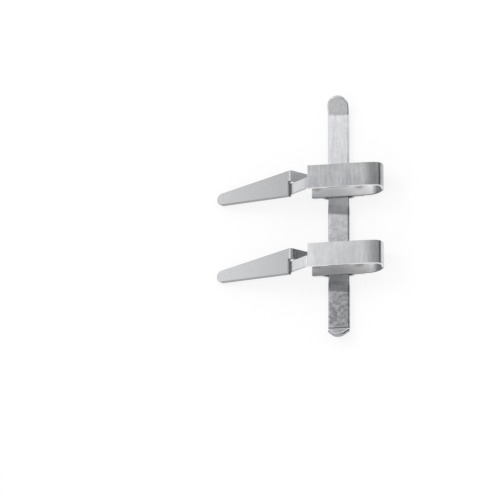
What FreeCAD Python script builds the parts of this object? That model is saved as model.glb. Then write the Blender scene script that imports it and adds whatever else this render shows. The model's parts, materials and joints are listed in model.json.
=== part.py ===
"""Vessel approximator clamp: two cross-action spring clips that slide along a flat bar.

Every length is in millimetres. Each clip is drawn in its own side view, where u runs along
the clip towards the loop end and w points out of the front plate, and is then given its
width along the bar. The whole clamp is last tilted to lie as it rests on a table: on the
tips of the two pairs of jaws and on the two guide bridges.
"""

import FreeCAD
import Part
import math
import os

from FreeCAD import Placement, Rotation, Vector

# Strip that each clip is folded from
STRIP_WIDTH = 2.85
STRIP_THICKNESS = 0.30
BEND_RADIUS = 0.30
EDGE_BREAK = 0.05
LONG_EDGE_SHARE = 1.1

# Squeeze loop of a clip, measured outside
LOOP_LENGTH = 8.74
LOOP_DEPTH = 3.68
LEAD_IN_RUN = 1.74
LEAD_IN_ANGLE_DEG = 9.0
LEAD_IN_RADIUS = 9.0
FRONT_CORNER_RADIUS = 0.90
REAR_CORNER_RADIUS = 2.30
LOOP_END_FLAT = 0.20
REAR_PLATE_OVERRUN = 0.05

# Crossing necks, each nearly half as wide as the strip
NECK_WIDTH = 1.33
FRONT_BEND_RUN = 0.15
REAR_BEND_RUN = 0.25
CROSSING_DEPTH = 1.72
REAR_NECK_END = -2.12

# Jaws
JAW_GAP = 0.03
JAW_SLANT_DEG = 26.8
JAW_BEND = -2.36
JAW_LENGTH = 10.6
JAW_SHOULDER = 0.05
JAW_FLARE = 0.22
JAW_TIP_WIDTH = 1.40
JAW_TAPER_SHARE = 0.55

# Bar with its two bent stop tabs
BAR_LENGTH = 29.655
BAR_WIDTH = 2.54
BAR_THICKNESS = 0.50
BAR_EDGE_RADIUS = 0.23
UPPER_TAB_LENGTH = 2.25
UPPER_TAB_ANGLE_DEG = 32.0
UPPER_BEND_RADIUS = 1.20
LOWER_TAB_LENGTH = 1.50
LOWER_TAB_ANGLE_DEG = 38.0
LOWER_BEND_RADIUS = 0.60
LOWER_FLANK_START = 0.48
LOWER_TIP_RADIUS = 0.95
BAR_CENTRE = 3.05

# Guide bridges spot-welded across the rear plates, with the bar's play in them
SLIDE_CLEARANCE = 0.04
SIDE_CLEARANCE = 0.10
BRIDGE_THICKNESS = 0.30
BRIDGE_INSET = 0.02
BRIDGE_LEG_RUN = 0.55
BRIDGE_FOOT_LENGTH = 1.04
BRIDGE_BEND_RADIUS = 0.25
WELD_MARK_WIDTH = 0.80
WELD_MARK_DEPTH = 0.04

# Places of the clips along the bar, from its middle
CLIP_PLACES = {"1": 3.869, "2": -5.721}
MEETING_GAP = 0.05
STOP_GAP = 0.18

# Corners closer than this are one point
SAME_POINT = 1e-6

HALF_STRIP = STRIP_THICKNESS / 2
HALF_WIDTH = STRIP_WIDTH / 2
JAW_PITCH = STRIP_THICKNESS + JAW_GAP
SLANT = math.radians(JAW_SLANT_DEG)
JAW_DIRECTION = (-math.cos(SLANT), -math.sin(SLANT))
REAR_AXIS_DEPTH = -LOOP_DEPTH + HALF_STRIP
NEAR_JAW_DEPTH = -CROSSING_DEPTH + JAW_PITCH / 2
FAR_JAW_DEPTH = -CROSSING_DEPTH - JAW_PITCH / 2
BAR_FRONT_DEPTH = -LOOP_DEPTH - SLIDE_CLEARANCE
BAR_AXIS_DEPTH = BAR_FRONT_DEPTH - BAR_THICKNESS / 2
CROWN_AXIS_DEPTH = BAR_FRONT_DEPTH - BAR_THICKNESS - SLIDE_CLEARANCE - BRIDGE_THICKNESS / 2
FOOT_AXIS_DEPTH = -LOOP_DEPTH - BRIDGE_THICKNESS / 2
LEG_ANGLE = math.atan2(FOOT_AXIS_DEPTH - CROWN_AXIS_DEPTH, BRIDGE_LEG_RUN)
CROWN_HALF = BAR_WIDTH / 2 + SIDE_CLEARANCE + BRIDGE_THICKNESS / 2 * math.tan(LEG_ANGLE / 2)
FOOT_START = CROWN_HALF + BRIDGE_LEG_RUN
BRIDGE_HALF = FOOT_START + BRIDGE_FOOT_LENGTH
WELD_OFFSET = FOOT_START + BRIDGE_FOOT_LENGTH / 2


def unit(start, end):
    """Returns the unit vector from start to end, in the side view."""
    run = (end[0] - start[0], end[1] - start[1])
    length = math.hypot(*run)
    return (run[0] / length, run[1] / length)


def shifted(point, direction, distance):
    """Returns the point moved along a direction by a distance."""
    return (point[0] + direction[0] * distance, point[1] + direction[1] * distance)


def left_of(direction):
    """Returns the direction turned a quarter turn to the left."""
    return (-direction[1], direction[0])


def bend(before, vertex, after, radius):
    """Returns a bend's first point, centre, last point and side: 1 turns left, -1 right."""
    incoming = unit(before, vertex)
    outgoing = unit(vertex, after)
    cross = incoming[0] * outgoing[1] - incoming[1] * outgoing[0]
    dot = incoming[0] * outgoing[0] + incoming[1] * outgoing[1]
    side = math.copysign(1.0, cross)
    tangent = radius * math.tan(abs(math.atan2(cross, dot)) / 2)
    first = shifted(vertex, incoming, -tangent)
    last = shifted(vertex, outgoing, tangent)
    centre = shifted(first, left_of(incoming), side * radius)
    return first, centre, last, side


def offset_edges(points, radii, offset):
    """Returns edges that run beside a rounded path, at an offset to its left.

    Args:
        points: Corners of the path's middle line, in the side view.
        radii: Bend radius of the middle line at each inner corner.
        offset: Distance to the left of the middle line.
    """
    edges = []
    start = shifted(points[0], left_of(unit(points[0], points[1])), offset)
    for index, radius in enumerate(radii, start=1):
        first, centre, last, side = bend(points[index - 1], points[index], points[index + 1], radius)
        reach = radius - side * offset
        ends = [shifted(centre, unit(centre, point), reach) for point in (first, last)]
        middle = shifted(centre, unit(centre, points[index]), reach)
        edges.append(Part.LineSegment(side_view(start), side_view(ends[0])).toShape())
        edges.append(Part.Arc(side_view(ends[0]), side_view(middle), side_view(ends[1])).toShape())
        start = ends[1]
    finish = shifted(points[-1], left_of(unit(points[-2], points[-1])), offset)
    edges.append(Part.LineSegment(side_view(start), side_view(finish)).toShape())
    return edges


def side_view(point):
    """Returns the place in space of a point of the side view."""
    return Vector(point[0], 0, point[1])


def strip(points, radii, thickness, near, far):
    """Returns a folded strip: a rounded path with a thickness, from near to far along Y."""
    left = offset_edges(points, radii, thickness / 2)
    right = offset_edges(points, radii, -thickness / 2)
    caps = []
    for tip in (0, -1):
        ends = [edges[tip].Vertexes[tip].Point for edges in (left, right)]
        caps.append(Part.LineSegment(*ends).toShape())
    loop = Part.Wire(Part.__sortEdges__(left + right + caps))
    face = Part.Face(loop)
    face.translate(Vector(0, near, 0))
    return face.extrude(Vector(0, far - near, 0))


def jaw_frame():
    """Returns the placement of the near jaw's own plane: X to the tip, Y along the bar."""
    turn = Rotation(side_view(JAW_DIRECTION), Vector(0, 1, 0), Vector(), "XYZ")
    return Placement(Vector(JAW_BEND, 0, NEAR_JAW_DEPTH), turn)


def jaw_blank(neck_low, neck_high, root):
    """Returns the flat blank of a jaw with its neck, as a prism square to the jaw.

    Args:
        neck_low: Lower edge of the neck along the bar.
        neck_high: Upper edge of the neck.
        root: Distance from the near jaw's bend to where the neck widens to the jaw.
    """
    root_high = HALF_WIDTH
    root_low = -HALF_WIDTH - JAW_FLARE
    taper = root_high - root_low - JAW_TIP_WIDTH
    tip_high = root_high - taper * (1 - JAW_TAPER_SHARE)
    tip_low = root_low + taper * JAW_TAPER_SHARE
    tip_radius = JAW_TIP_WIDTH / 2
    shoulder = JAW_LENGTH - tip_radius
    back = -2 * LOOP_LENGTH
    corners = [
        (shoulder, tip_low),
        (root, root_low),
        (root, neck_low),
        (back, neck_low),
        (back, neck_high),
        (root, neck_high),
        (root, root_high),
        (shoulder, tip_high),
    ]
    spots = [Vector(along, across, 0) for along, across in corners]
    pairs = [pair for pair in zip(spots, spots[1:]) if not pair[0].isEqual(pair[1], SAME_POINT)]
    edges = [Part.LineSegment(*pair).toShape() for pair in pairs]
    tip = Vector(JAW_LENGTH, (tip_low + tip_high) / 2, 0)
    edges.append(Part.Arc(spots[-1], tip, spots[0]).toShape())
    face = Part.Face(Part.Wire(edges))
    face.translate(Vector(0, 0, -LOOP_LENGTH))
    blank = face.extrude(Vector(0, 0, 2 * LOOP_LENGTH))
    blank.Placement = jaw_frame()
    return blank


def near_jaw_end():
    """Returns the middle of the near jaw's end, in the side view."""
    return shifted((JAW_BEND, NEAR_JAW_DEPTH), JAW_DIRECTION, JAW_LENGTH)


def far_jaw_bend():
    """Returns the bend of the far jaw, which lies flat against the near one."""
    return (JAW_BEND + JAW_PITCH * math.tan(SLANT / 2), FAR_JAW_DEPTH)


def far_jaw_end():
    """Returns the middle of the far jaw's end, level with the near jaw's end."""
    away = (math.sin(SLANT), -math.cos(SLANT))
    return shifted(near_jaw_end(), away, JAW_PITCH)


def jaw_root(points):
    """Returns where a jaw widens, just past its bend, measured along it from the near jaw's bend.

    Args:
        points: Corners of the strip's middle line, of which the last but one is the jaw's bend.
    """
    end_of_bend = bend(*points[-3:], BEND_RADIUS)[2]
    run = (end_of_bend[0] - JAW_BEND, end_of_bend[1] - NEAR_JAW_DEPTH)
    return run[0] * JAW_DIRECTION[0] + run[1] * JAW_DIRECTION[1] + JAW_SHOULDER


def near_jaw_with_neck():
    """Returns the near jaw and the neck that crosses to it from the rear plate."""
    points = [
        (-REAR_PLATE_OVERRUN, REAR_AXIS_DEPTH),
        (-REAR_BEND_RUN, REAR_AXIS_DEPTH),
        (REAR_NECK_END, NEAR_JAW_DEPTH),
        (JAW_BEND, NEAR_JAW_DEPTH),
        near_jaw_end(),
    ]
    band = strip(points, [BEND_RADIUS] * 3, STRIP_THICKNESS, -STRIP_WIDTH, STRIP_WIDTH)
    return band.common(jaw_blank(HALF_WIDTH - NECK_WIDTH, HALF_WIDTH, jaw_root(points)))


def far_jaw_with_neck():
    """Returns the far jaw and the neck that slopes straight down to it from the front plate."""
    points = [
        (0, -HALF_STRIP),
        (-FRONT_BEND_RUN, -HALF_STRIP),
        far_jaw_bend(),
        far_jaw_end(),
    ]
    band = strip(points, [BEND_RADIUS] * 2, STRIP_THICKNESS, -STRIP_WIDTH, STRIP_WIDTH)
    return band.common(jaw_blank(-HALF_WIDTH, -HALF_WIDTH + NECK_WIDTH, jaw_root(points)))


def squeeze_loop():
    """Returns the loop of a clip: front plate, which leans in to its corner, end and rear plate."""
    outer_end = LOOP_LENGTH - HALF_STRIP
    lead_in = LOOP_LENGTH - LEAD_IN_RUN
    drop = (outer_end - lead_in) * math.tan(math.radians(LEAD_IN_ANGLE_DEG))
    points = [
        (0, -HALF_STRIP),
        (lead_in, -HALF_STRIP),
        (outer_end, -HALF_STRIP - drop),
        (outer_end, REAR_AXIS_DEPTH),
        (-REAR_PLATE_OVERRUN, REAR_AXIS_DEPTH),
    ]
    front_radius = FRONT_CORNER_RADIUS - HALF_STRIP
    front_corner = bend(*points[1:4], front_radius)[2]
    room = front_corner[1] - REAR_AXIS_DEPTH - LOOP_END_FLAT
    rear_radius = min(REAR_CORNER_RADIUS - HALF_STRIP, room)
    radii = [LEAD_IN_RADIUS, front_radius, rear_radius]
    return strip(points, radii, STRIP_THICKNESS, -HALF_WIDTH, HALF_WIDTH)


def spring_clip():
    """Returns one clip, a single folded piece, with the middle of its width at Y zero."""
    folded = squeeze_loop().multiFuse([near_jaw_with_neck(), far_jaw_with_neck()]).removeSplitter()
    marks = weld_marks(-LOOP_DEPTH + STRIP_THICKNESS, 1)
    return with_broken_edges(folded, STRIP_THICKNESS).cut(marks).Solids[0]


def with_broken_edges(shape, thickness):
    """Returns a folded strip whose cut edges are broken by a small chamfer."""
    return shape.makeChamfer(EDGE_BREAK, long_edges(shape, thickness))


def long_edges(shape, thickness):
    """Returns the sharp edges of a folded strip, apart from those through its thickness."""
    longer = LONG_EDGE_SHARE * thickness
    return [edge for edge in shape.Edges if edge.Length > longer and is_sharp(shape, edge)]


def is_sharp(shape, edge):
    """Tells whether the two faces at an edge meet at a corner, and not smoothly."""
    middle = edge.valueAt((edge.FirstParameter + edge.LastParameter) / 2)
    faces = shape.ancestorsOfType(edge, Part.Face)
    normals = [face.normalAt(*face.Surface.parameter(middle)) for face in faces]
    return normals[0].getAngle(normals[-1]) > math.pi / 4


def weld_marks(depth, side):
    """Returns the two shallow round dents that the spot welds leave in a face.

    Args:
        depth: Depth of the face in the side view.
        side: 1 for a face that looks forward, -1 for one that looks back.
    """
    half = WELD_MARK_WIDTH / 2
    radius = (half ** 2 + WELD_MARK_DEPTH ** 2) / (2 * WELD_MARK_DEPTH)
    height = depth + side * (radius - WELD_MARK_DEPTH)
    slab = Part.makeBox(2 * radius, 2 * radius, 2 * WELD_MARK_DEPTH)
    slab.translate(Vector(-radius, -radius, depth - WELD_MARK_DEPTH))
    dent = Part.makeSphere(radius, Vector(0, 0, height)).common(slab)
    places = [BAR_CENTRE - WELD_OFFSET, BAR_CENTRE + WELD_OFFSET]
    return Part.Compound([dent.translated(Vector(place, 0, 0)) for place in places])


def guide_bridge():
    """Returns the strap that holds the bar against a clip's rear plate."""
    outline = [
        (-BRIDGE_HALF, FOOT_AXIS_DEPTH),
        (-FOOT_START, FOOT_AXIS_DEPTH),
        (-CROWN_HALF, CROWN_AXIS_DEPTH),
        (CROWN_HALF, CROWN_AXIS_DEPTH),
        (FOOT_START, FOOT_AXIS_DEPTH),
        (BRIDGE_HALF, FOOT_AXIS_DEPTH),
    ]
    points = [(BAR_CENTRE + along, depth) for along, depth in outline]
    radii = [BRIDGE_BEND_RADIUS] * 4
    half = HALF_WIDTH - BRIDGE_INSET
    strap = strip(points, radii, BRIDGE_THICKNESS, -half, half)
    marks = weld_marks(-LOOP_DEPTH - BRIDGE_THICKNESS, -1)
    return with_broken_edges(strap, BRIDGE_THICKNESS).cut(marks).Solids[0]


def slide_bar():
    """Returns the bar, with rounded ends that are bent forward as stops."""
    tips, creases = [], []
    for end in (-1, 1):
        length, angle, crease = tab_fold(end)
        tips.append((end * BAR_LENGTH / 2, length * math.sin(angle)))
        creases.append((end * crease, 0))
    half = BAR_WIDTH / 2
    radii = [LOWER_BEND_RADIUS, UPPER_BEND_RADIUS]
    bar = strip([tips[0], *creases, tips[1]], radii, BAR_THICKNESS, -half, half)
    for end in (-1, 1):
        bar = bar.cut(tab_waste(end))
    bar = bar.makeFillet(BAR_EDGE_RADIUS, long_edges(bar, BAR_THICKNESS))
    bar.rotate(Vector(), Vector(0, 0, 1), 90)
    bar.translate(Vector(BAR_CENTRE, 0, BAR_AXIS_DEPTH))
    return bar


def tab_fold(end):
    """Returns a tab's length and angle, and how far its crease is from the bar's middle.

    Args:
        end: Above 0 for the upper tab, below 0 for the lower one.
    """
    if end > 0:
        length, angle = UPPER_TAB_LENGTH, math.radians(UPPER_TAB_ANGLE_DEG)
    else:
        length, angle = LOWER_TAB_LENGTH, math.radians(LOWER_TAB_ANGLE_DEG)
    return length, angle, BAR_LENGTH / 2 - length * math.cos(angle)


def tab_waste(end):
    """Returns what is cut off a tab to round it, for the end at -1 or 1.

    The upper tab, at 1, ends in a half circle. The lower one is drawn in to a narrower tip: a
    straight flank leaves each edge of the bar just past the bend and runs smoothly into
    the tip's arc.
    """
    length, angle, crease = tab_fold(end)
    half = BAR_WIDTH / 2
    reach = 2 * BAR_WIDTH
    start, radius = (length - half, half) if end > 0 else (LOWER_FLANK_START, LOWER_TIP_RADIUS)
    centre = length - radius
    flank = math.atan2(half, centre - start) - math.asin(radius / math.hypot(centre - start, half))
    touch = (centre + radius * math.sin(flank), radius * math.cos(flank))
    side = [touch, (start, half), (start, reach), (reach, reach)]
    corners = [Vector(along, across, 0) for along, across in side]
    corners += [Vector(along, -across, 0) for along, across in reversed(side)]
    pairs = [pair for pair in zip(corners, corners[1:]) if not pair[0].isEqual(pair[1], SAME_POINT)]
    edges = [Part.LineSegment(*pair).toShape() for pair in pairs]
    edges.append(Part.Arc(corners[-1], Vector(length, 0, 0), corners[0]).toShape())
    face = Part.Face(Part.Wire(edges))
    face.translate(Vector(0, 0, -reach))
    waste = face.extrude(Vector(0, 0, 2 * reach))
    along = Vector(end * math.cos(angle), 0, math.sin(angle))
    turn = Rotation(along, Vector(0, 1, 0), Vector(), "XYZ")
    waste.Placement = Placement(Vector(end * crease, 0, 0), turn)
    return waste


def rest_tilt():
    """Returns the tilt that lays the jaw tips and the bridges on one level, in degrees."""
    away = (math.sin(SLANT), -math.cos(SLANT))
    tip = shifted(far_jaw_end(), away, HALF_STRIP)
    crown = (BAR_CENTRE + CROWN_HALF, CROWN_AXIS_DEPTH)
    foot = (BAR_CENTRE + FOOT_START, FOOT_AXIS_DEPTH)
    first, centre, last, side = bend((BAR_CENTRE, CROWN_AXIS_DEPTH), crown, foot, BRIDGE_BEND_RADIUS)
    reach = math.dist(tip, centre)
    roundness = BRIDGE_BEND_RADIUS + BRIDGE_THICKNESS / 2
    line = math.atan2(centre[1] - tip[1], centre[0] - tip[0])
    return math.degrees(line - math.asin(roundness / reach))


def clip_travel(place):
    """Returns how far a clip may slide each way from its place, in millimetres."""
    inner = MEETING_GAP + HALF_WIDTH + (JAW_FLARE if place > 0 else 0)
    length, angle, crease = tab_fold(place)
    outer = crease - STOP_GAP - HALF_WIDTH
    stops = sorted(math.copysign(limit, place) for limit in (inner, outer))
    return [round(stop - place, 3) for stop in stops]


def main():
    """Builds every piece, lays the clamp at rest and writes one file for each piece."""
    pieces = {"slide_bar": slide_bar()}
    clip = spring_clip()
    bridge = guide_bridge()
    for number, place in CLIP_PLACES.items():
        pieces["spring_clip_" + number] = clip.translated(Vector(0, place, 0))
        pieces["guide_bridge_" + number] = bridge.translated(Vector(0, place, 0))
    tilt = rest_tilt()
    for name, shape in pieces.items():
        shape.rotate(Vector(), Vector(0, 1, 0), tilt)
    box = Part.Compound(list(pieces.values())).optimalBoundingBox(False)
    base = Vector(-box.Center.x, -box.Center.y, -box.ZMin)
    os.makedirs("parts", exist_ok=True)
    for name, shape in pieces.items():
        shape.translate(base)
        shape.exportStep(os.path.join("parts", name + ".step"))
        print(name, "valid", shape.isValid(), "solids", len(shape.Solids), "mm3", round(shape.Volume, 3))
    print("tilt", round(tilt, 4), "base", [round(value, 5) for value in base])
    print("box", [round(value, 4) for value in (box.XLength, box.YLength, box.ZLength)])
    for number, place in CLIP_PLACES.items():
        print("travel of clip", number, clip_travel(place))


main()
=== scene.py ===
"""Dresses, lights and frames the vessel approximator clamp.

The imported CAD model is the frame. The clamp is bare steel with no soft or printed part, so every
piece has its node's own shape, joined so that bends shade smoothly. What is made here is each
piece's finish, the studio and the camera.
Lengths in the classes are millimetres, and the scene is in metres.
"""

import json
import logging
import math
from dataclasses import dataclass, field
from enum import Enum

import bmesh
import bpy
from mathutils import Matrix, Vector

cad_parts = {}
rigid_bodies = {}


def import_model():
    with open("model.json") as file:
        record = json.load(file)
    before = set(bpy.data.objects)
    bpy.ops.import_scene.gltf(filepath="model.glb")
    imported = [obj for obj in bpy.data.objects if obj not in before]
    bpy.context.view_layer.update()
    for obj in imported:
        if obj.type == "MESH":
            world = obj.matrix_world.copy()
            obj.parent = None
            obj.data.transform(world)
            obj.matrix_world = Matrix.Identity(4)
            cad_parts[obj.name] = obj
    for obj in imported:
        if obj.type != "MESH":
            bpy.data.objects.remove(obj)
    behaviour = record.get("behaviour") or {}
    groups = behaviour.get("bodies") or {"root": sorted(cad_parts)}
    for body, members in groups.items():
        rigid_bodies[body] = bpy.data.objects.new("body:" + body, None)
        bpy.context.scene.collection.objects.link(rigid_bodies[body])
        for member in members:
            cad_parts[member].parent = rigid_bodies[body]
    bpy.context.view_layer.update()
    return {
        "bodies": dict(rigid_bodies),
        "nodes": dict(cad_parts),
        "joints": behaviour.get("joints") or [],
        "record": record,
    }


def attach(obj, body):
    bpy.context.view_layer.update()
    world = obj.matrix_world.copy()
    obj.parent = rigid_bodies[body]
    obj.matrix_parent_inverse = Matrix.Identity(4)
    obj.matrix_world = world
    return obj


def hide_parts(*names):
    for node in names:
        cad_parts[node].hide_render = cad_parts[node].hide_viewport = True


LOG = logging.getLogger("clamp")
PHOTO_WIDTH_PX = 500
SENSOR_MM = 36.0
MM = 0.001
ORIGIN = Vector((0.0, 0.0, 0.0))
ALONG_BAR = Vector((0.0, 1.0, 0.0))
WHITE = "#FFFFFF"
# Corners of one node closer than this are one corner, in millimetres.
SAME_PLACE = 0.001
# Faces that meet at less than this are one flat, and edges above the second angle stay sharp.
FLAT_DEG = 0.5
SHARP_DEG = 40.0
# Fineness of the noise that grinding marks are drawn from.
STREAK_DETAIL = 3.0
# The camera sees what is between these distances, in metres.
NEAREST_M = 0.01
FARTHEST_M = 10.0

Socket = bpy.types.NodeSocket
Tree = bpy.types.NodeTree
# The colour and the roughness of a surface.
Surface = tuple[Socket, Socket]


class Lay(Enum):
    """Which way the grinding marks of a piece run: the axes that they are long in."""

    ALONG_BAR = (False, True, False)
    ACROSS_BAR = (True, False, True)


def linear_colour(hex_code: str) -> tuple[float, float, float, float]:
    """Turns an sRGB colour into the linear one that the shaders take.

    Args:
        hex_code: Colour as six hex digits with a leading hash sign.

    Returns:
        Red, green, blue and an alpha of one.
    """
    channels = [int(hex_code[i:i + 2], 16) / 255 for i in (1, 3, 5)]
    # The curve of the sRGB standard, straight near black.
    straight = [c / 12.92 if c <= 0.04045 else ((c + 0.055) / 1.055) ** 2.4 for c in channels]
    return (straight[0], straight[1], straight[2], 1.0)


def add_node(tree: Tree, kind: str, settings: dict | None = None, values: dict | None = None,
             links: dict | None = None) -> bpy.types.Node:
    """Adds one node to a tree.

    Args:
        tree: Tree that gets the node.
        kind: Blender's name of the node type.
        settings: Properties of the node.
        values: Values of its input sockets, by name or number.
        links: Output sockets to join to its input sockets, by name or number.

    Returns:
        The new node.
    """
    node = tree.nodes.new(kind)
    for name, value in (settings or {}).items():
        setattr(node, name, value)
    for socket, value in (values or {}).items():
        node.inputs[socket].default_value = value
    for socket, source in (links or {}).items():
        tree.links.new(source, node.inputs[socket])
    return node


def span(start: float, end: float, low: float = 0.0, high: float = 1.0) -> dict[str, float]:
    """Returns a range's socket values: start and end become low and high, held beyond them."""
    return {"From Min": start, "From Max": end, "To Min": low, "To Max": high}


def empty_material(name: str) -> bpy.types.Material:
    """Returns a new material whose node tree is empty."""
    material = bpy.data.materials.new(name)
    material.use_nodes = True
    material.node_tree.nodes.clear()
    return material


@dataclass(frozen=True)
class Marking:
    """A material's tree, with the ways that marks are laid out on this clamp.

    A mask is a socket that is 1 where a mark is and 0 where it isn't.
    """

    tree: Tree

    def reach(self, place: Socket, start: Vector, direction: Vector) -> Socket:
        """Returns how far a place is from a start along a direction, both in metres."""
        moved = add_node(self.tree, "ShaderNodeVectorMath", {"operation": "SUBTRACT"}, {1: start},
                         {0: place})
        node = add_node(self.tree, "ShaderNodeVectorMath", {"operation": "DOT_PRODUCT"},
                        {1: direction}, {0: moved.outputs["Vector"]})
        return node.outputs["Value"]

    def zone(self, place: Socket, start: Vector, direction: Vector, near: float, far: float,
             low: float = 0.0, high: float = 1.0) -> Socket:
        """Returns a mask that changes evenly along a direction.

        Args:
            place: Object coordinates.
            start: Point that the distances are counted from, in metres.
            direction: Way that they are counted.
            near: Where the change starts, in millimetres.
            far: Where it ends, in millimetres. It may be on the near side of its start.
            low: Value at the start of the change and before it.
            high: Value at its end and beyond.

        Returns:
            The mask.
        """
        node = add_node(self.tree, "ShaderNodeMapRange", values=span(near * MM, far * MM, low, high),
                        links={"Value": self.reach(place, start, direction)})
        return node.outputs["Result"]

    def streaks(self, place: Socket, lay: Lay, spacing: float, length: float) -> Socket:
        """Returns marks that run with the lay of the grinding.

        Args:
            place: Object coordinates.
            lay: The axes that the marks are long in.
            spacing: Width from mark to mark, in millimetres.
            length: Length of a mark, in millimetres.

        Returns:
            A value that is about a half on average.
        """
        fine, coarse = 1 / (spacing * MM), 1 / (length * MM)
        scale = tuple(coarse if along else fine for along in lay.value)
        stretched = add_node(self.tree, "ShaderNodeMapping", values={"Scale": scale},
                             links={"Vector": place})
        node = add_node(self.tree, "ShaderNodeTexNoise", values={"Scale": 1.0, "Detail": STREAK_DETAIL},
                        links={"Vector": stretched.outputs["Vector"]})
        return node.outputs["Fac"]

    def laid(self, colour: Socket, shade: str, *masks: Socket) -> Socket:
        """Lays a shade over a colour.

        Args:
            colour: Colour of the surface so far.
            shade: Hex colour to lay over it.
            masks: It is laid by the product of these.

        Returns:
            The new colour.
        """
        share = masks[0]
        for mask in masks[1:]:
            both = add_node(self.tree, "ShaderNodeMath", {"operation": "MULTIPLY"},
                            links={0: share, 1: mask})
            share = both.outputs["Value"]
        node = add_node(self.tree, "ShaderNodeMix", {"data_type": "RGBA"},
                        {"B": linear_colour(shade)}, {"Factor": share, "A": colour})
        return node.outputs["Result"]


@dataclass(frozen=True)
class SatinSteel:
    """Stainless steel, ground and then polished to a satin.

    Satin steel has no colour of its own. The eye sees the light tent in it, softened by grinding
    marks that all run one way, with slightly duller patches where the polishing wheel cut less.
    The contrast is the range of marks and patches together that goes from dull to pale.
    """

    name: str
    pale: str
    dull: str
    roughness: float
    roughness_spread: float
    mark_spacing: float
    mark_length: float
    mark_depth: float
    patch_size: float
    lay: Lay = Lay.ALONG_BAR
    patch_share: float = 0.45
    patch_detail: float = 4.0
    patch_sharpness: float = 0.6
    contrast: tuple[float, float] = (0.34, 0.66)

    def material(self) -> bpy.types.Material:
        """Builds the material."""
        material = empty_material(self.name)
        tree = material.node_tree
        marking = Marking(tree)
        place = add_node(tree, "ShaderNodeTexCoord").outputs["Object"]
        marks = marking.streaks(place, self.lay, self.mark_spacing, self.mark_length)
        patches = add_node(tree, "ShaderNodeTexNoise",
                           values={"Scale": 1 / (self.patch_size * MM), "Detail": self.patch_detail,
                                   "Roughness": self.patch_sharpness},
                           links={"Vector": place})
        polish = add_node(tree, "ShaderNodeMix", {"data_type": "FLOAT"},
                          {"Factor": self.patch_share}, {"A": marks, "B": patches.outputs["Fac"]})
        shine = add_node(tree, "ShaderNodeMapRange", values=span(*self.contrast),
                         links={"Value": polish.outputs["Result"]}).outputs["Result"]
        steel = add_node(tree, "ShaderNodeMix", {"data_type": "RGBA"},
                         {"A": linear_colour(self.dull), "B": linear_colour(self.pale)},
                         {"Factor": shine})
        most = self.roughness + self.roughness_spread
        least = self.roughness - self.roughness_spread
        matt = add_node(tree, "ShaderNodeMapRange", values=span(0.0, 1.0, most, least),
                        links={"Value": shine})
        colour, roughness = self.worked(marking, place, steel.outputs["Result"],
                                        matt.outputs["Result"])
        relief = add_node(tree, "ShaderNodeBump",
                          values={"Strength": 1.0, "Distance": self.mark_depth * MM},
                          links={"Height": marks})
        shader = add_node(tree, "ShaderNodeBsdfPrincipled", values={"Metallic": 1.0},
                          links={"Base Color": colour, "Roughness": roughness,
                                 "Normal": relief.outputs["Normal"]})
        add_node(tree, "ShaderNodeOutputMaterial", links={"Surface": shader.outputs["BSDF"]})
        return material

    def worked(self, marking: Marking, place: Socket, colour: Socket, roughness: Socket) -> Surface:
        """Returns the colour and roughness as further work and any painted light and shade leave them.

        Args:
            marking: The material's tree.
            place: Object coordinates.
            colour: Colour of the polished steel.
            roughness: Roughness of the polished steel.

        Returns:
            The colour and the roughness.
        """
        return colour, roughness


@dataclass(frozen=True)
class PaintedBand:
    """One band painted across the bar below a clip's place: a painted highlight when pale, a painted
    reflection of the clip when dark.

    It comes in from near to far and goes out from end to gone, in millimetres up from its foot,
    and it covers the bar by its share.
    """

    shade: str
    near: float
    far: float
    end: float
    gone: float
    share: float


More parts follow.
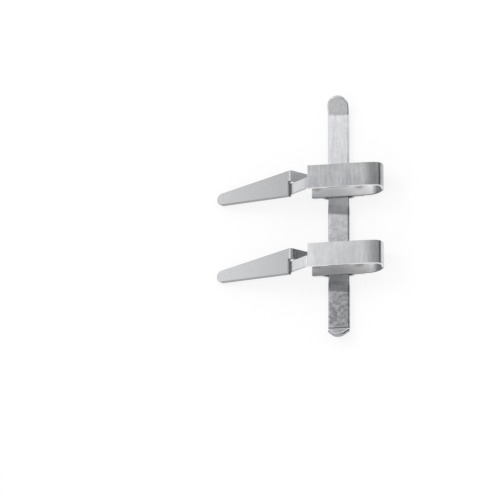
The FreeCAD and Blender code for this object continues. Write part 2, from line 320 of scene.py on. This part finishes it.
@dataclass(frozen=True)
class RubbedBarSteelWithPaintedLight(SatinSteel):
    """Ground bar stock that the clips have rubbed.

    The eye sees a few long bright rub marks, and the bar gets duller and blotchier towards its
    lower end, down to the lower stop. Below the place of each clip a dark band is painted as a
    painted reflection of the clip in the bar, and a bright band between it and the clip is a
    painted highlight. The dark line in the lower stop's crease is painted shade. The stop's face is
    painted near white as painted light, and its cut edge is left grey. Places are counted along the
    bar, up from the middle of the clamp. The blotches are drawn as large as they look in the
    photograph. Real rub marks are about 0.05 mm wide, too fine for the picture, so they are drawn
    0.35 mm apart.
    """

    # The bar is drawn duller and blotchier towards its lower end.
    lower_dark: str = "#87898D"
    lower_dark_from: float = 5.0
    lower_dark_to: float = -11.0
    lower_dark_share: tuple[float, float] = (0.12, 0.95)
    blotch_size: float = 0.45
    blotch_detail: float = 3.0
    blotch_sharpness: float = 0.65
    blotch_range: tuple[float, float, float, float] = (0.36, 0.64, 0.20, 1.0)
    # The bright band is a painted highlight, and the dark one below it a painted reflection of the clip
    # in the bar.
    bands: tuple[PaintedBand, ...] = (
        PaintedBand("#F2F3F4", near=0.8, far=1.4, end=2.2, gone=3.6, share=0.60),
        PaintedBand("#808285", near=-0.1, far=0.1, end=0.4, gone=1.3, share=0.85),
    )
    band_feet: tuple[float, ...] = (0.22, -9.27)
    band_slant: float = 0.12
    band_middle: float = 5.45
    # A dark line painted in the lower stop's crease, as painted shade.
    crease: str = "#4E5054"
    crease_place: float = -13.60
    crease_width: float = 0.22
    crease_share: float = 0.85
    # The stop's face is painted near white, as painted light.
    stop: str = "#F0F1F2"
    stop_blend: float = 0.1
    stop_end: str = "#A4A6A9"
    stop_end_turn: tuple[float, float] = (0.45, 0.25)
    rub_spacing: float = 0.35
    rub_length: float = 14.0
    rub_range: tuple[float, float, float, float] = (0.55, 0.70, 0.0, 0.35)
    rub_roughness: float = 0.12

    def worked(self, marking: Marking, place: Socket, colour: Socket, roughness: Socket) -> Surface:
        """Returns the colour and roughness with the wear, the bands, the stop and the rub marks."""
        colour = self.darkened_down(marking, place, colour)
        colour = self.banded(marking, place, colour)
        colour = self.bent_stop(marking, place, colour)
        streaks = marking.streaks(place, self.lay, self.rub_spacing, self.rub_length)
        rubs = add_node(marking.tree, "ShaderNodeMapRange", values=span(*self.rub_range),
                        links={"Value": streaks})
        rubbed = add_node(marking.tree, "ShaderNodeMix", {"data_type": "FLOAT"},
                          {"B": self.rub_roughness},
                          {"Factor": rubs.outputs["Result"], "A": roughness})
        return colour, rubbed.outputs["Result"]

    def darkened_down(self, marking: Marking, place: Socket, colour: Socket) -> Socket:
        """Returns the colour with the dull blotches that get stronger down the bar."""
        lower = marking.zone(place, ORIGIN, ALONG_BAR, self.lower_dark_from, self.lower_dark_to,
                             *self.lower_dark_share)
        cloud = add_node(marking.tree, "ShaderNodeTexNoise",
                         values={"Scale": 1 / (self.blotch_size * MM), "Detail": self.blotch_detail,
                                 "Roughness": self.blotch_sharpness},
                         links={"Vector": place})
        blotches = add_node(marking.tree, "ShaderNodeMapRange", values=span(*self.blotch_range),
                            links={"Value": cloud.outputs["Fac"]})
        return marking.laid(colour, self.lower_dark, lower, blotches.outputs["Result"])

    def banded(self, marking: Marking, place: Socket, colour: Socket) -> Socket:
        """Returns the colour with the painted bands below each clip's place, a little aslant."""
        way = ALONG_BAR + Vector((self.band_slant, 0.0, 0.0))
        for foot in self.band_feet:
            start = Vector((self.band_middle, foot, 0.0)) * MM
            for band in self.bands:
                edge = marking.zone(place, start, way, band.near, band.far)
                fade = marking.zone(place, start, way, band.end, band.gone, band.share, 0.0)
                colour = marking.laid(colour, band.shade, edge, fade)
        return colour

    def bent_stop(self, marking: Marking, place: Socket, colour: Socket) -> Socket:
        """Returns the colour with the stop's painted light, its cut edge and its crease's painted
        shade.
        """
        tree = marking.tree
        on_stop = marking.zone(place, ORIGIN, ALONG_BAR, self.crease_place,
                               self.crease_place - self.stop_blend)
        colour = marking.laid(colour, self.stop, on_stop)
        normal = add_node(tree, "ShaderNodeTexCoord").outputs["Normal"]
        cut = add_node(tree, "ShaderNodeMapRange", values=span(*self.stop_end_turn),
                       links={"Value": marking.reach(normal, ORIGIN, ALONG_BAR)})
        colour = marking.laid(colour, self.stop_end, cut.outputs["Result"], on_stop)
        line = ALONG_BAR * self.crease_place * MM
        from_crease = add_node(tree, "ShaderNodeMath", {"operation": "ABSOLUTE"},
                               links={0: marking.reach(place, line, ALONG_BAR)})
        core, rim = self.crease_width / 4 * MM, self.crease_width / 2 * MM
        dark = add_node(tree, "ShaderNodeMapRange", values=span(core, rim, self.crease_share, 0.0),
                        links={"Value": from_crease.outputs["Value"]})
        return marking.laid(colour, self.crease, dark.outputs["Result"])


@dataclass(frozen=True)
class FoldFrame:
    """Where the folds of a clip lie: its directions, the middle of its loop and its two welds."""

    outward: Vector
    along: Vector
    middle: Vector
    welds: tuple[Vector, Vector]


@dataclass(frozen=True)
class FoldedStripSteel(SatinSteel):
    """Spring strip brushed before it is folded, with what folding and welding leave on it.

    The inside of the loop keeps the strip's matt rolled finish. A painted highlight pales it towards
    the loop end, and painted shade darkens the end bend itself. The necks and jaws are lapped after
    folding, to one even grey. The front plate's cut edges are painted bright, as a painted highlight.
    The jaws' and the rear plate's cut edges are painted dark, as painted shade. Each spot weld has a
    brown halo, drawn darker as painted shade.
    Places are counted from the middle of the loop towards its end.
    """

    fold: FoldFrame | None = None
    # Inside the loop: a painted highlight towards the loop end, and painted shade in the end bend.
    inside_highlight: str = "#F8F8F8"
    skin_dull: str = "#C8C9CB"
    skin_roughness: float = 0.40
    inside_highlight_from: float = -4.0
    inside_highlight_to: float = 3.5
    end_bend_shade: str = "#85878A"
    end_bend_shade_from: float = 2.7
    end_bend_shade_to: float = 3.3
    lapped: str = "#B6B7B9"
    lapped_share: float = 0.8
    # Cut edges: a painted highlight on the front plate's, painted shade on the jaws' and the rear
    # plate's.
    painted_front_edge_highlight: str = "#E4E5E7"
    painted_jaw_edge_shade: str = "#8E9093"
    painted_rear_edge_shade: str = "#6E7073"
    edge_turn: tuple[float, float] = (0.5, 0.8)
    edge_blend: float = 0.2
    # A brown weld halo, darkened further as painted shade.
    halo: str = "#76716A"
    halo_core: float = 0.45
    halo_rim: float = 0.85
    halo_share: float = 0.60
    loop_start: float = -4.5
    loop_blend: float = 0.1
    jaws_start: float = -6.2
    lapping_blend: float = 0.3

    def worked(self, marking: Marking, place: Socket, colour: Socket, roughness: Socket) -> Surface:
        """Returns the colour and roughness with the rolled inside, cut edges and weld halos."""
        inside = self.inside_loop(marking, place)
        colour = marking.laid(colour, self.skin_dull, inside)
        # Painted highlight towards the loop end, then painted shade in the end bend.
        for shade, near, far in ((self.inside_highlight, self.inside_highlight_from, self.inside_highlight_to),
                                 (self.end_bend_shade, self.end_bend_shade_from, self.end_bend_shade_to)):
            part = marking.zone(place, self.fold.middle, self.fold.along, near, far)
            colour = marking.laid(colour, shade, inside, part)
        past_loop = marking.zone(place, self.fold.middle, self.fold.along, self.loop_start,
                                 self.loop_start - self.lapping_blend, 0.0, self.lapped_share)
        colour = marking.laid(colour, self.lapped, past_loop)
        colour = self.cut_edges(marking, place, colour)
        colour = self.weld_halos(marking, place, colour)
        matt = add_node(marking.tree, "ShaderNodeMix", {"data_type": "FLOAT"},
                        {"B": self.skin_roughness}, {"Factor": inside, "A": roughness})
        return colour, matt.outputs["Result"]

    def cut_edges(self, marking: Marking, place: Socket, colour: Socket) -> Socket:
        """Returns the colour with painted highlights and painted shade on the cut edges of the strip.
        """
        tree = marking.tree
        normal = add_node(tree, "ShaderNodeTexCoord").outputs["Normal"]
        side = add_node(tree, "ShaderNodeMath", {"operation": "ABSOLUTE"},
                        links={0: marking.reach(normal, ORIGIN, ALONG_BAR)})
        cut = add_node(tree, "ShaderNodeMapRange", values=span(*self.edge_turn),
                       links={"Value": side.outputs["Value"]}).outputs["Result"]
        on_jaws = marking.zone(place, self.fold.middle, self.fold.along, self.jaws_start,
                               self.jaws_start - self.lapping_blend)
        colour = marking.laid(colour, self.painted_jaw_edge_shade, cut, on_jaws)
        on_loop = marking.zone(place, self.fold.middle, self.fold.along,
                               self.loop_start - self.loop_blend, self.loop_start)
        # Painted highlight on the front half's cut edges, painted shade on the rear half's.
        for shade, reach in ((self.painted_front_edge_highlight, self.edge_blend), (self.painted_rear_edge_shade, -self.edge_blend)):
            half = marking.zone(place, self.fold.middle, self.fold.outward, -reach, reach)
            colour = marking.laid(colour, shade, cut, on_loop, half)
        return colour

    def weld_halos(self, marking: Marking, place: Socket, colour: Socket) -> Socket:
        """Returns the colour with the halo round each spot weld, darkened as painted shade."""
        for weld in self.fold.welds:
            gap = add_node(marking.tree, "ShaderNodeVectorMath", {"operation": "DISTANCE"},
                           {1: weld}, {0: place})
            tint = add_node(marking.tree, "ShaderNodeMapRange",
                            values=span(self.halo_core * MM, self.halo_rim * MM, self.halo_share, 0.0),
                            links={"Value": gap.outputs["Value"]})
            colour = marking.laid(colour, self.halo, tint.outputs["Result"])
        return colour

    def inside_loop(self, marking: Marking, place: Socket) -> Socket:
        """Returns 1 on the faces that look into the loop, and else 0."""
        tree = marking.tree
        normal = add_node(tree, "ShaderNodeTexCoord").outputs["Normal"]
        from_middle = add_node(tree, "ShaderNodeVectorMath", {"operation": "SUBTRACT"},
                               {1: self.fold.middle}, {0: place})
        facing = add_node(tree, "ShaderNodeVectorMath", {"operation": "DOT_PRODUCT"},
                          links={0: from_middle.outputs["Vector"], 1: normal})
        inward = add_node(tree, "ShaderNodeMath", {"operation": "LESS_THAN"}, {1: 0.0},
                          {0: facing.outputs["Value"]})
        run = marking.reach(place, self.fold.middle, self.fold.along)
        on_loop = add_node(tree, "ShaderNodeMath", {"operation": "GREATER_THAN"},
                           {1: self.loop_start * MM}, {0: run})
        both = add_node(tree, "ShaderNodeMath", {"operation": "MULTIPLY"},
                        links={0: inward.outputs["Value"], 1: on_loop.outputs["Value"]})
        return both.outputs["Value"]


@dataclass(frozen=True)
class JoinedPiece:
    """A piece that stands for a CAD node: the same shape, with its loose triangles joined.

    On the loose triangles the light breaks where a bend meets a flat. Joined, and shaded with
    normals that the large flats hold straight, a bend runs smoothly out of its flats.
    """

    name: str
    node: str
    body: str
    slot: str

    def build(self, nodes: dict[str, bpy.types.Object],
              material: bpy.types.Material) -> bpy.types.Object:
        """Builds the piece with its finish.

        Args:
            nodes: CAD nodes by name.
            material: The piece's finish.

        Returns:
            The piece, riding on its body.
        """
        mesh = bpy.data.meshes.new(self.name)
        shape = bmesh.new()
        shape.from_mesh(nodes[self.node].data)
        bmesh.ops.remove_doubles(shape, verts=shape.verts, dist=SAME_PLACE * MM)
        bmesh.ops.dissolve_limit(shape, angle_limit=math.radians(FLAT_DEG),
                                 use_dissolve_boundaries=False, verts=shape.verts,
                                 edges=shape.edges)
        for face in shape.faces:
            face.smooth = True
            face.material_index = 0
        for edge in shape.edges:
            edge.smooth = edge.calc_face_angle(0.0) < math.radians(SHARP_DEG)
        shape.to_mesh(mesh)
        shape.free()
        if mesh.has_custom_normals:
            mesh.attributes.remove(mesh.attributes["custom_normal"])
        mesh.materials.append(material)
        piece = bpy.data.objects.new(self.name, mesh)
        bpy.context.scene.collection.objects.link(piece)
        held = piece.modifiers.new("normals_held_by_flats", "WEIGHTED_NORMAL")
        held.keep_sharp = True
        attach(piece, self.body)
        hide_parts(self.node)
        LOG.info("%s: %s, %d faces", self.name, material.name, len(mesh.polygons))
        return piece


@dataclass
class SlideBar:
    """The flat bar with its two bent end stops, and the sizes of its grinding lines."""

    line_spacing: float = 0.25
    line_length: float = 3.0
    line_depth: float = 0.0002
    patch_size: float = 1.1

    def dress(self, nodes: dict[str, bpy.types.Object]) -> None:
        """Gives the bar its finish."""
        # Cold-rolled 304 bar, ground lengthwise: fine lines along it. Real lines are about 0.03 mm
        # apart, too fine for the picture, so they are drawn 0.25 mm apart.
        finish = RubbedBarSteelWithPaintedLight(
            "ground_stainless_bar", pale="#D7D8DA", dull="#C3C4C7", roughness=0.20,
            roughness_spread=0.03, mark_spacing=self.line_spacing, mark_length=self.line_length,
            mark_depth=self.line_depth, patch_size=self.patch_size)
        JoinedPiece("ground_bar", "slide_bar", "bar", "bar_steel").build(nodes, finish.material())


@dataclass
class SpringClip:
    """One folded spring clip with the guide bridge that is welded on its rear plate.

    The weld sizes place the two welds from the middle of the bridge: in from its outer face, and
    out to both sides. The loop's middle lies in from the front grip and towards the loop end.
    The inside sizes say how grey the inside of the loop is and where its painted highlight is full.
    """

    number: int
    pale: str
    dull: str
    skin_dull: str
    inside_highlight_to: float
    weld_height: float = 1.03
    weld_offset: float = 2.52
    loop_half_depth: float = 1.84
    loop_middle_run: float = 0.70

    def fold_frame(self, record: dict) -> FoldFrame:
        """Works out the clip's directions, the middle of its loop and its weld places.

        Args:
            record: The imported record. Its front grip is on the front plate, and its rear grip is
                the middle of the bridge.

        Returns:
            The directions and the places, in metres.
        """
        grips = {mount["name"]: mount for mount in record["mounts"]}
        front, rear = (grips[f"clip_{self.number}_{side}_grip"] for side in ("front", "rear"))
        outward = Vector(front["axis"]).normalized()
        along = ALONG_BAR.cross(outward)
        inset = along * self.loop_middle_run - outward * self.loop_half_depth
        middle = Vector(front["pos_m"]) + inset * MM
        seam = Vector(rear["pos_m"]) + outward * self.weld_height * MM
        welds = tuple(seam + along * side * self.weld_offset * MM for side in (-1, 1))
        return FoldFrame(outward, along, middle, welds)

    def dress(self, nodes: dict[str, bpy.types.Object], record: dict) -> None:
        """Gives the clip and its bridge their finishes.

        Args:
            nodes: CAD nodes by name.
            record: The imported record.
        """
        # Hardened 301 spring strip, brushed across its width before folding. Real brush lines are
        # about 0.04 mm apart, and they are drawn 0.3 mm apart so that they show.
        strip = FoldedStripSteel(
            f"brushed_spring_strip_{self.number}", pale=self.pale, dull=self.dull, roughness=0.26,
            roughness_spread=0.03, mark_spacing=0.30, mark_length=2.4, mark_depth=0.0002,
            patch_size=1.6, fold=self.fold_frame(record), skin_dull=self.skin_dull,
            inside_highlight_to=self.inside_highlight_to)
        body = f"clip_{self.number}"
        folded = JoinedPiece(f"folded_clip_{self.number}", f"spring_clip_{self.number}", body,
                             "clip_steel")
        folded.build(nodes, strip.material())
        # Thin 304 strap, brushed lengthwise before it is pressed to shape: duller than the clip,
        # with lines across the bar. The real lines are as fine, and are drawn 0.25 mm apart.
        strap = SatinSteel(
            f"pressed_stainless_strap_{self.number}", pale="#C4C5C7", dull="#AEB0B3",
            roughness=0.28, roughness_spread=0.04, mark_spacing=0.25, mark_length=1.6,
            mark_depth=0.0004, patch_size=1.2, lay=Lay.ACROSS_BAR)
        pressed = JoinedPiece(f"pressed_bridge_{self.number}", f"guide_bridge_{self.number}", body,
                              "bridge_steel")
        pressed.build(nodes, strap.material())


@dataclass
class ReflectionCard:
    """A card that only the steel sees, as a photographer sets one to shape a reflection.

    Its glow runs evenly from the foot to the head of its height.
    """

    name: str
    centre: tuple[float, float, float]
    width: tuple[float, float, float]
    height: tuple[float, float, float]
    grey: str
    glow: tuple[float, float] = (1.0, 1.0)

    def build(self) -> None:
        """Builds the card, hidden from the camera, from diffuse rays and from shadows."""
        mesh = bpy.data.meshes.new(self.name)
        shape = bmesh.new()
        # The size is half a side, so this is a square of 1, which the frame then stretches.
        bmesh.ops.create_grid(shape, x_segments=1, y_segments=1, size=0.5)
        width, height = Vector(self.width) * MM, Vector(self.height) * MM
        frame = Matrix((width, height, width.cross(height).normalized())).transposed().to_4x4()
        place = Matrix.Translation(Vector(self.centre) * MM) @ frame
        bmesh.ops.transform(shape, matrix=place, verts=shape.verts)
        shape.to_mesh(mesh)
        shape.free()
        card = bpy.data.objects.new(self.name, mesh)
        bpy.context.scene.collection.objects.link(card)
        mesh.materials.append(self.cloth(Vector(self.centre) * MM, height))
        card.visible_camera = False
        card.visible_diffuse = False
        card.visible_shadow = False

    def cloth(self, centre: Vector, height: Vector) -> bpy.types.Material:
        """Builds the card's glowing cloth.

        Args:
            centre: Middle of the card, in metres.
            height: From its foot to its head, in metres.

        Returns:
            The material.
        """
        material = empty_material(self.name)
        tree = material.node_tree
        place = add_node(tree, "ShaderNodeTexCoord").outputs["Object"]
        half = height.length / 2 / MM
        level = Marking(tree).zone(place, centre, height.normalized(), -half, half, *self.glow)
        light = add_node(tree, "ShaderNodeEmission", values={"Color": linear_colour(self.grey)},
                         links={"Strength": level})
        add_node(tree, "ShaderNodeOutputMaterial", links={"Surface": light.outputs["Emission"]})
        return material


@dataclass
class Studio:
    """White light tent on a white table, with a soft lamp and the cards that shape reflections."""

    table_size: float = 1200.0
    table_white: str = "#8A8A8A"
    table_glow: float = 0.77
    tent_strength: float = 0.85
    lamp_place: tuple[float, float, float] = (-240.0, 200.0, 420.0)
    lamp_size: float = 180.0
    lamp_power: float = 0.30
    cards: list[ReflectionCard] = field(default_factory=lambda: [
        ReflectionCard("softbox_cloth", (-18, 22, 60), (64, 0, 0), (0, 40, 0), WHITE, (0.40, 1.45)),
        ReflectionCard("overhead_shade", (38, 4, 50), (44, 0, 0), (0, 48, 0), "#A0A0A0"),
        ReflectionCard("near_shade", (-8, -16, 48), (40, 0, 0), (0, 36, 0), "#E0E0E0"),
        ReflectionCard("side_shade", (30, -1, 16), (0, 34, 0), (0, 0, 12), "#9A9A9A"),
        ReflectionCard("low_side_shade", (30, -3, 5), (0, 36, 0), (0, 0, 10), "#404040"),
        ReflectionCard("side_light", (30, 27, 7), (0, 16, 0), (0, 0, 14), WHITE, (1.5, 1.5)),
        ReflectionCard("bend_light", (-28, 19, 50), (10, 0, 0), (0, 24, 0), WHITE, (1.7, 1.7)),
        ReflectionCard("glint", (-8, 10, 49), (16, 0, 0), (0, 10, 0), WHITE, (1.6, 1.6)),
        ReflectionCard("left_card", (-37.1, 18, 22.2), (0, 36, 0), (17.8, 0, 26.6), WHITE,
                       (1.76, 0.48)),
    ])

    def build(self) -> None:
        """Sets up the table, the tent, the lamp and the cards."""
        self.table()
        self.tent()
        self.lamp()
        for card in self.cards:
            card.build()
        LOG.info("studio: table, tent, lamp and %d cards", len(self.cards))

    def seen(self, tree: Tree, unseen_level: float, seen_level: float) -> Socket:
        """Returns one level where the camera or the steel sees a surface, and another elsewhere.

        Args:
            tree: Tree of the surface's material.
            unseen_level: Level for the light that the surface gives.
            seen_level: Level for the eye, in the steel and through it too.

        Returns:
            The level.
        """
        path = add_node(tree, "ShaderNodeLightPath")
        mirrored = add_node(tree, "ShaderNodeMath", {"operation": "MAXIMUM"},
                            links={0: path.outputs["Is Camera Ray"], 1: path.outputs["Is Glossy Ray"]})
        either = add_node(tree, "ShaderNodeMath", {"operation": "MAXIMUM"},
                          links={0: mirrored.outputs["Value"], 1: path.outputs["Is Transmission Ray"]})
        level = add_node(tree, "ShaderNodeMapRange", values=span(0.0, 1.0, unseen_level, seen_level),
                         links={"Value": either.outputs["Value"]})
        return level.outputs["Result"]

    def table(self) -> None:
        """Builds the table top, white to the eye but still shaded under the clamp."""
        mesh = bpy.data.meshes.new("table_top")
        shape = bmesh.new()
        bmesh.ops.create_grid(shape, x_segments=1, y_segments=1, size=self.table_size / 2 * MM)
        shape.to_mesh(mesh)
        shape.free()
        top = bpy.data.objects.new("table_top", mesh)
        bpy.context.scene.collection.objects.link(top)
        material = empty_material("white_table")
        tree = material.node_tree
        paper = add_node(tree, "ShaderNodeBsdfDiffuse",
                         values={"Color": linear_colour(self.table_white)})
        glow = add_node(tree, "ShaderNodeEmission",
                        links={"Strength": self.seen(tree, 0.0, self.table_glow)})
        both = add_node(tree, "ShaderNodeAddShader",
                        links={0: paper.outputs["BSDF"], 1: glow.outputs["Emission"]})
        add_node(tree, "ShaderNodeOutputMaterial", links={"Surface": both.outputs["Shader"]})
        mesh.materials.append(material)

    def tent(self) -> None:
        """Makes the world a white tent, plain white where it is seen."""
        world = bpy.data.worlds.new("light_tent")
        world.use_nodes = True
        tree = world.node_tree
        tree.nodes.clear()
        cloth = add_node(tree, "ShaderNodeBackground", values={"Color": linear_colour(WHITE)},
                         links={"Strength": self.seen(tree, self.tent_strength, 1.0)})
        add_node(tree, "ShaderNodeOutputWorld", links={"Surface": cloth.outputs["Background"]})
        bpy.context.scene.world = world

    def lamp(self) -> None:
        """Hangs one large soft lamp high at the upper left, aimed at the clamp."""
        light = bpy.data.lights.new("soft_lamp", "AREA")
        light.shape = "DISK"
        light.size = self.lamp_size * MM
        light.energy = self.lamp_power
        holder = bpy.data.objects.new("soft_lamp", light)
        place = Vector(self.lamp_place) * MM
        aim = place.to_track_quat("Z", "Y").to_matrix().to_4x4()
        holder.matrix_world = Matrix.Translation(place) @ aim
        bpy.context.scene.collection.objects.link(holder)


@dataclass
class PhotoCamera:
    """The camera at the photograph's viewing angle, fitted to the clamp's measured edges."""

    azimuth: float = 42.339
    elevation: float = 63.868
    roll: float = 0.189
    target: tuple[float, float, float] = (-4.758, -4.645, 5.738)
    distance: float = 600.0
    px_per_mm: float = 8.608

    def build(self) -> None:
        """Builds the camera and makes it the scene's own."""
        azimuth, elevation = math.radians(self.azimuth), math.radians(self.elevation)
        level = Vector((math.sin(azimuth), -math.cos(azimuth), 0.0))
        back = level * math.cos(elevation) + Vector((0.0, 0.0, math.sin(elevation)))
        right = ALONG_BAR.cross(back).normalized()
        turn = Matrix((right, back.cross(right), back)).transposed()
        turn = turn @ Matrix.Rotation(math.radians(self.roll), 3, "Z")
        place = (Vector(self.target) + back * self.distance) * MM
        lens = bpy.data.cameras.new("photo_camera")
        lens.sensor_width = SENSOR_MM
        lens.lens = self.px_per_mm * self.distance * SENSOR_MM / PHOTO_WIDTH_PX
        lens.clip_start = NEAREST_M
        lens.clip_end = FARTHEST_M
        holder = bpy.data.objects.new("photo_camera", lens)
        holder.matrix_world = Matrix.Translation(place) @ turn.to_4x4()
        bpy.context.scene.collection.objects.link(holder)
        bpy.context.scene.camera = holder
        LOG.info("camera: %.0f mm lens at %.0f mm", lens.lens, self.distance)


def main() -> None:
    """Loads the frame, dresses each piece, and sets up the studio and the camera."""
    logging.basicConfig(level=logging.INFO, format="%(message)s")
    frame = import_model()
    SlideBar().dress(frame["nodes"])
    # The two clips are one steel. The lower clip's outside is painted brighter and its inside darker
    # than the upper one's, as painted light and shade.
    clips = (
        SpringClip(1, pale="#C3C4C6", dull="#A3A4A7", skin_dull="#C8C9CB", inside_highlight_to=1.0),
        SpringClip(2, pale="#E2E3E5", dull="#C9CACD", skin_dull="#B0B1B4", inside_highlight_to=3.6),
    )
    for clip in clips:
        clip.dress(frame["nodes"], frame["record"])
    Studio().build()
    PhotoCamera().build()
    bpy.context.scene.view_settings.view_transform = "Standard"


if __name__ == "__main__":
    main()
